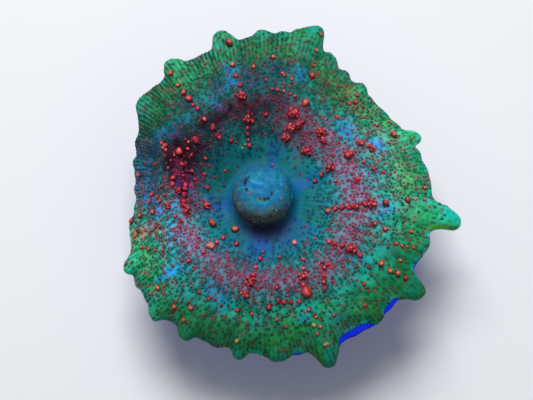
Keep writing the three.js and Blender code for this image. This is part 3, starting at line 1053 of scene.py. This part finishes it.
# Both ramps: the bubble's own crimson or brick, with painted shade darkening the foot and a painted
# highlight paling the tip.
RED = [  # the plain bubbles' colour at each share of the way up
    (0, (48, 8, 34)), (0.4, (122, 14, 46)), (0.75, (184, 34, 56)), (0.92, (204, 66, 76)),
    (1, (232, 128, 116)),
]
BRICK = [(0, (50, 42, 28)), (0.4, (124, 44, 34)), (0.72, (186, 72, 48)), (1, (234, 136, 92))]


def crimson(shader):
    """Makes the flesh of the bubbles: crimson darkened to wine at the foot by painted shade and paled to
    pink at the tip by a painted highlight, or brick and peach where warm, with cloudy blots, and duller by
    the piece's own tone."""
    field, lay = shader.field, shader.lay
    share = (field("tip") + (shader.noise(0.35, 2.0, 0.6) - 0.5) * 0.9).kept()
    shader.colour = shader.mix(shader.ramp(share, RED), shader.ramp(share, BRICK), field("warm"))
    lay((60, 26, 34), field("tone") * 0.55)
    lay((232, 150, 132), field("pale") * (share * 1.4).kept())
    lay((150, 156, 78), field("gold") * (share * 1.4).kept())
    lay((70, 8, 30), field("pit") * field("tip").step(0.86, 1.0), 0.9)


bubble = Shader("crimson_bubble", 0.34)
crimson(bubble)
blister = skin_round("crimson_blister", 0.2)
skin_colour = blister.colour
crimson(blister)
blister.lay(skin_colour, blister.field("tip").step(0.55, 0.05), 0.75)
for shader in (bubble, blister):
    shader.finish(0.32 + shader.noise(0.4) * 0.16, shader.noise(0.16), 0.04)

small_turn, small_reach, ring_share, wine_share = pick(is_bubble, dot_turn, dot_reach, in_ring, in_wine)
small_reach = np.minimum(small_reach, 33.2)
outer_left = smooth(0.5, 0.9, facing(small_turn, 205)) * smooth(21, 24, small_reach)
wider = draw.random(len(small_turn)) < 0.12 + 0.3 * wine_share + 0.35 * outer_left
half_width = draw.uniform(0.2, 0.36, len(small_turn)) + 0.16 * wider
MOUND = [[1.0, -0.35], [0.72, 0.4], [0.36, 0.9]]  # [share of the width, share of the lift]
small = draped_buttons(
    "small_bubbles",
    small_turn,
    span_at(small_reach),
    half_width,
    half_width * draw.uniform(0.9, 1.4, len(small_turn)),
    draw.uniform(-0.5, 0.5, len(small_turn)),
    half_width * draw.uniform(0.45, 0.95, len(small_turn)),
    {
        **skin_numbers(small_turn, small_reach, ring_share, wine_share),
        "warm": np.clip(smooth(20, 28, small_reach) * draw.uniform(0.3, 1.1, len(small_turn)), 0, 1),
        "tone": draw.uniform(0, 1, len(small_turn)) + 0.6 * wine_share + 0.5 * smooth(22, 27, small_reach),
    },
    profile=MOUND,
)

CHAINS = [  # [bearing and reach of the first, bearing and reach of the last, how many, width]
    [126, 32.0, 126, 26.0, 4, 1.4], [126, 24.3, 127, 22.8, 2, 1.2], [127, 20.0, 126, 15.8, 3, 1.2],
    [103, 28.9, 102, 23.6, 3, 1.4], [102, 15.4, 104, 12.0, 4, 1.0], [268, 13.4, 263, 17.6, 3, 1.2],
    [301, 16.0, 297, 17.9, 2, 1.1], [324, 17.2, 328, 23.3, 6, 1.2], [348, 14.1, 354, 20.8, 6, 1.2],
    [358, 30.2, 358, 32.4, 3, 0.8], [340, 28.6, 340, 31.8, 4, 0.85], [329, 29.7, 328, 31.4, 3, 1.1],
    [176, 17.0, 188, 17.4, 5, 1.1], [154, 24.2, 152, 26.4, 3, 1.0], [292, 25.9, 292, 31.5, 4, 0.9],
    [86, 22.0, 72, 21.6, 5, 0.9], [82, 25.6, 77, 24.6, 3, 0.95], [72, 32.8, 69, 27.8, 4, 1.1],
    [49, 31.0, 48, 28.4, 3, 1.1], [226, 12.2, 224, 17.6, 4, 1.2], [277, 23.0, 289, 23.9, 4, 1.0],
    [310, 18.8, 302, 23.2, 5, 1.0], [237, 25.2, 264, 25.8, 5, 0.9], [203, 30.2, 210, 25.1, 4, 0.8],
    [197, 24.8, 196, 32.6, 8, 0.72],
]
SINGLES = [  # [bearing, reach, width]
    [141, 18.5, 1.6], [126, 18.0, 1.3], [152, 25.0, 1.3], [153, 20.5, 1.7], [151, 17.5, 0.8],
    [156, 21.5, 0.7], [149, 19.0, 0.9], [145, 19.5, 0.7], [164, 22.5, 0.8], [170, 20.5, 1.2],
    [174, 20.5, 1.1], [173, 17.0, 1.3], [161, 16.0, 1.1], [166, 15.0, 1.0], [158, 13.5, 0.9],
    [169, 12.0, 1.1], [167, 18.0, 0.8], [160, 19.0, 0.8], [178, 28.0, 1.2], [182, 28.0, 1.0],
    [180, 25.5, 1.0], [180, 23.0, 1.1], [183, 24.5, 0.9], [195, 20.0, 0.9], [199, 18.5, 0.9],
    [202, 19.5, 0.8], [207, 12.0, 1.8], [228, 8.8, 1.7], [293, 22.4, 2.4], [293, 21.0, 1.3],
    [295, 22.0, 1.0], [102, 31.7, 1.8], [98, 16.4, 1.1], [119, 14.2, 0.9], [146, 14.8, 0.9],
    [143, 10.2, 0.7], [168, 32.1, 1.1], [188, 30.8, 1.1], [188, 26.7, 1.1], [189, 33.0, 1.3],
    [225, 15.4, 1.5], [223, 21.4, 1.0], [241, 11.6, 1.2], [304, 11.8, 1.2], [291, 30.3, 1.0],
    [270, 11.8, 0.8], [285, 13.6, 0.8], [282, 15.6, 0.8], [278, 20.3, 1.1], [86, 28.7, 1.1],
    [94, 27.2, 1.0], [69, 27.6, 1.7], [66, 21.4, 1.9], [88, 17.4, 0.9], [48, 23.6, 1.2],
    [22, 13.3, 1.1], [19, 11.6, 1.0], [14, 23.4, 1.1], [19, 22.1, 1.0], [12, 25.0, 0.9],
    [20, 26.4, 0.9], [27, 30.7, 1.7], [34, 29.4, 0.9], [356, 24.7, 1.5], [358, 28.9, 1.5],
    [344, 25.6, 1.2], [345, 23.4, 1.1], [346, 30.4, 0.9], [4, 32.6, 0.9], [329, 27.8, 1.4],
    [334, 30.7, 0.9], [318, 27.2, 1.0], [312, 30.1, 0.9], [222, 30.4, 1.1], [232, 30.8, 1.0],
    [238, 29.0, 1.2], [238, 31.6, 1.1], [260, 31.4, 1.0], [273, 24.2, 1.3], [276, 26.8, 0.9],
    [280, 28.4, 0.8], [291, 29.2, 1.0], [300, 28.6, 0.8], [75, 7.8, 0.6], [112, 11.9, 0.55],
    [108, 12.4, 0.5], [292, 31.5, 0.7], [320, 14.2, 0.7], [338, 15.6, 0.6], [12, 15.8, 0.8],
]
singles = [list(single) for single in SINGLES]
for first_bearing, first_reach, last_bearing, last_reach, count, chain_width in CHAINS:
    for part in np.linspace(0, 1, count):
        bearing = first_bearing + (last_bearing - first_bearing) * part + draw.uniform(-1, 1)
        far = first_reach + (last_reach - first_reach) * part
        singles.append([bearing, far, chain_width * draw.uniform(0.8, 1.15)])
bearing, single_reach, width = np.array(singles).T
single_turn = np.radians(bearing)
single_frames = frames(single_turn, span_at(single_reach))
# Which of them are unlike the rest, as [bearing, reach, size, strength]: an ochre row, two with a
# pit, warm ones, pale ones, golden ones and a few that are never dull.
STREAK = [[197, 25.4, 1.0, 0.9], [197, 27.4, 1.0, 0.9], [197, 29.4, 1.0, 1.0], [197, 31.4, 1.0, 1.0]]
SUNKEN = [[207, 12, 1.2, 0.9], [228, 8.8, 1.2, 1.0]]
WARM = STREAK + SUNKEN + [[66, 21.4, 1.2, 0.9], [260, 22, 1.2, 0.5], [293, 22.4, 1.0, 0.4]]
PALE = [
    [225, 15.4, 1.0, 0.5], [304, 11.8, 1.0, 0.6], [296, 15.9, 1.0, 0.4], [297, 18.2, 0.8, 0.5],
    [348, 14, 1, 0.3],
]
GOLD = [
    [291, 29.2, 0.6, 0.8], [292, 31.5, 0.8, 0.7], [260, 31.4, 0.8, 0.7], [112, 11.9, 0.8, 0.9],
    [108, 12.4, 0.6, 0.8],
]
BRIGHT = [[293, 22.4, 1.2, 1.0], [293, 21.0, 0.8, 0.7], [266, 27.5, 1.0, 0.6]]
warm_here = np.clip(smooth(22, 31, single_reach) * draw.uniform(0.5, 1.1, len(single_turn)), 0, 1)
warm_here = np.maximum(warm_here, soft_spots(single_turn, single_reach, WARM))

# a cluster's heads stand round its middle one, each leaning outward
HEADS = 9
HEAD_TURN = 2.4  # radians from one head to the next, which spreads them evenly
bearing, centre_reach, wide = np.array(CLUSTERS).T[..., None]
middle, c_across, c_along, c_up = frames(np.radians(bearing), span_at(centre_reach))
order = np.arange(HEADS)
grid_shape = (len(CLUSTERS), HEADS)
distance = 0.43 * np.sqrt(order / HEADS) * wide * draw.uniform(0.75, 1.2, grid_shape)
swing = order * HEAD_TURN + draw.uniform(-0.5, 0.5, grid_shape)
swing = swing + draw.uniform(0, 6.3, (len(CLUSTERS), 1))
x, y = (distance * np.cos(swing))[..., None], (distance * np.sin(swing))[..., None]
aside = x * c_across + y * c_along
raised = 0.2 * wide * (1 - order / HEADS) ** 2
head_base = middle + aside + c_up * raised[..., None]
head_up = unit(c_up + 0.9 * aside / wide[..., None])
head_across = unit(np.cross(np.broadcast_to([0.3, 1.0, 0.1], head_up.shape), head_up))
head_frames = (head_base, head_across, np.cross(head_up, head_across), head_up)
head_width = (0.56 - 0.022 * order) * wide * draw.uniform(0.6, 1.15, grid_shape)


def marked(spots):
    """How strongly spots mark each single bubble, and 0 for each head of a cluster."""
    return np.concatenate([soft_spots(single_turn, single_reach, spots), np.zeros(head_width.size)])


width = np.concatenate([width, head_width.ravel()])
pitted = (draw.random(len(width)) < 0.3) * 1.0
pitted = np.maximum(pitted, marked(SUNKEN) > 0.5) * (marked(BRIGHT) < 0.5)
large = bulbs(
    "large_bubbles",
    *[np.concatenate([one, head.reshape(-1, 3)]) for one, head in zip(single_frames, head_frames)],
    width,
    width * draw.uniform(0.5, 0.7, len(width)),
    pitted * 0.25,
    {
        "pit": pitted,
        "warm": np.concatenate([warm_here, 0.25 * draw.random(head_width.size)]),
        "pale": marked(PALE),
        "gold": marked(GOLD),
        "tone": np.maximum(draw.random(len(width)) ** 2, 0.7 * marked(STREAK + SUNKEN))
        * (1 - marked(BRIGHT)),
    },
)
for piece, shader in ((small, blister), (large, bubble)):
    piece.data.materials.append(shader.material)
    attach(piece, "root")


# ---- The studio ----
# A pale floor, one broad soft lamp behind the polyp, a weak fill in front, and the camera that
# looks steeply down on the disc from the front.
FLOOR = 3000  # half the floor's side, in mm
floor_corners = np.array([[-1, -1, 0], [1, -1, 0], [1, 1, 0], [-1, 1, 0]]) * FLOOR
floor = stand("floor", floor_corners, [[0, 1, 2, 3]], [False])
paper = Shader("pale_paper", 0.5)
paper_colour = paper.mix((226, 227, 229), (220, 221, 223), paper.noise(60.0))
paper.feed(paper.surface, {"Base Color": paper_colour, "Roughness": 0.8})
floor.data.materials.append(paper.material)


def lamp(name, place, size, watts):
    """A square soft lamp at a place in metres that shines at the polyp."""
    light = bpy.data.lights.new(name, "AREA")
    light.size = size
    light.energy = watts
    holder = bpy.data.objects.new(name, light)
    holder.location = place
    holder.rotation_euler = (Vector((0, 0, 0.02)) - Vector(place)).to_track_quat("-Z", "Y").to_euler()
    bpy.context.scene.collection.objects.link(holder)


lamp("key", (-0.06, 0.26, 0.54), 0.3, 3.7)
lamp("fill", (0.3, -0.5, 0.5), 0.5, 0.3)
world = bpy.data.worlds.new("studio")
bpy.context.scene.world = world
world.use_nodes = True
world.node_tree.nodes["Background"].inputs["Color"].default_value = (0.9, 0.95, 1.0, 1)
world.node_tree.nodes["Background"].inputs["Strength"].default_value = 0.27
bpy.context.scene.view_settings.view_transform = "Standard"

ELEVATION, DISTANCE = np.radians(74), 311 * MM
AIM = Vector((-2.27, -0.68, 24)) * MM
camera_data = bpy.data.cameras.new("camera")
camera_data.lens = 100
camera_data.sensor_width = 36
camera_data.clip_start = 0.01
camera = bpy.data.objects.new("camera", camera_data)
camera.location = AIM + DISTANCE * Vector((0, -np.cos(ELEVATION), np.sin(ELEVATION)))
camera.rotation_euler = (np.pi / 2 - ELEVATION, 0, 0)
bpy.context.scene.collection.objects.link(camera)
bpy.context.scene.camera = camera
